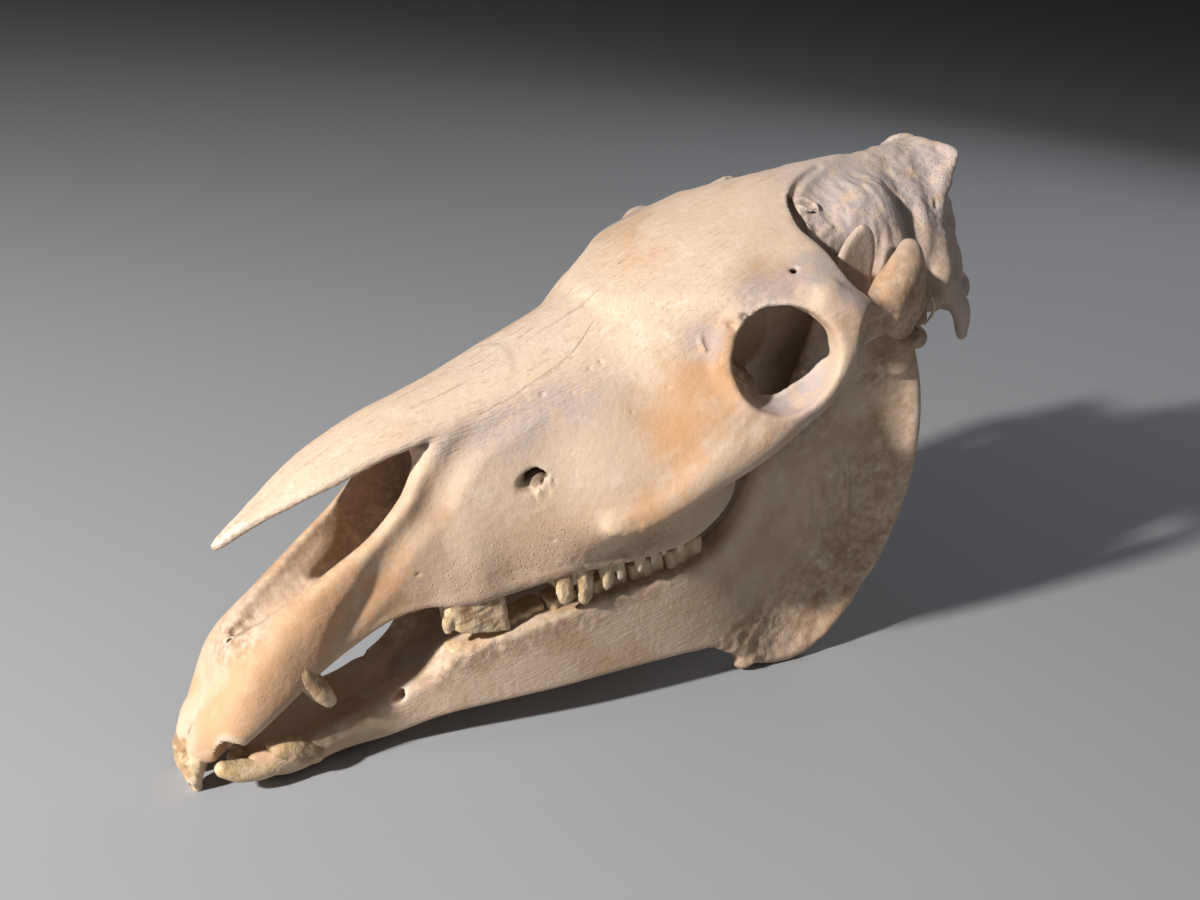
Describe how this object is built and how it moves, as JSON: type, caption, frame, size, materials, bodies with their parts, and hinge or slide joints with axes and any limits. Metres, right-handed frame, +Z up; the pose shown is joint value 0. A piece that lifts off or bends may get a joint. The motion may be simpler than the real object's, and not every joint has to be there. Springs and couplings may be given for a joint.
{
  "type": "horse skull",
  "caption": "Horse skull with its lower jaw closed, dry and weathered, resting on the angles of the jaw and the chin.",
  "frame": {"origin": "centre of the bounding box at the level of the surface that the jaw rests on", "axes": "+X towards the muzzle, +Y to the animal's left, +Z up"},
  "size_m": [0.5268, 0.2174, 0.3351],
  "materials": {
    "bone": "matt dry bone, cream with tan stains"
  },
  "bodies": {
    "root": {"face": "bone", "nasal_bones": "bone", "incisive_bone": "bone", "zygomatic_arch_left": "bone", "zygomatic_arch_right": "bone", "braincase": "bone", "mandible_body": "bone", "mandible_ramus_left": "bone", "mandible_ramus_right": "bone"}
  },
  "joints": []
}
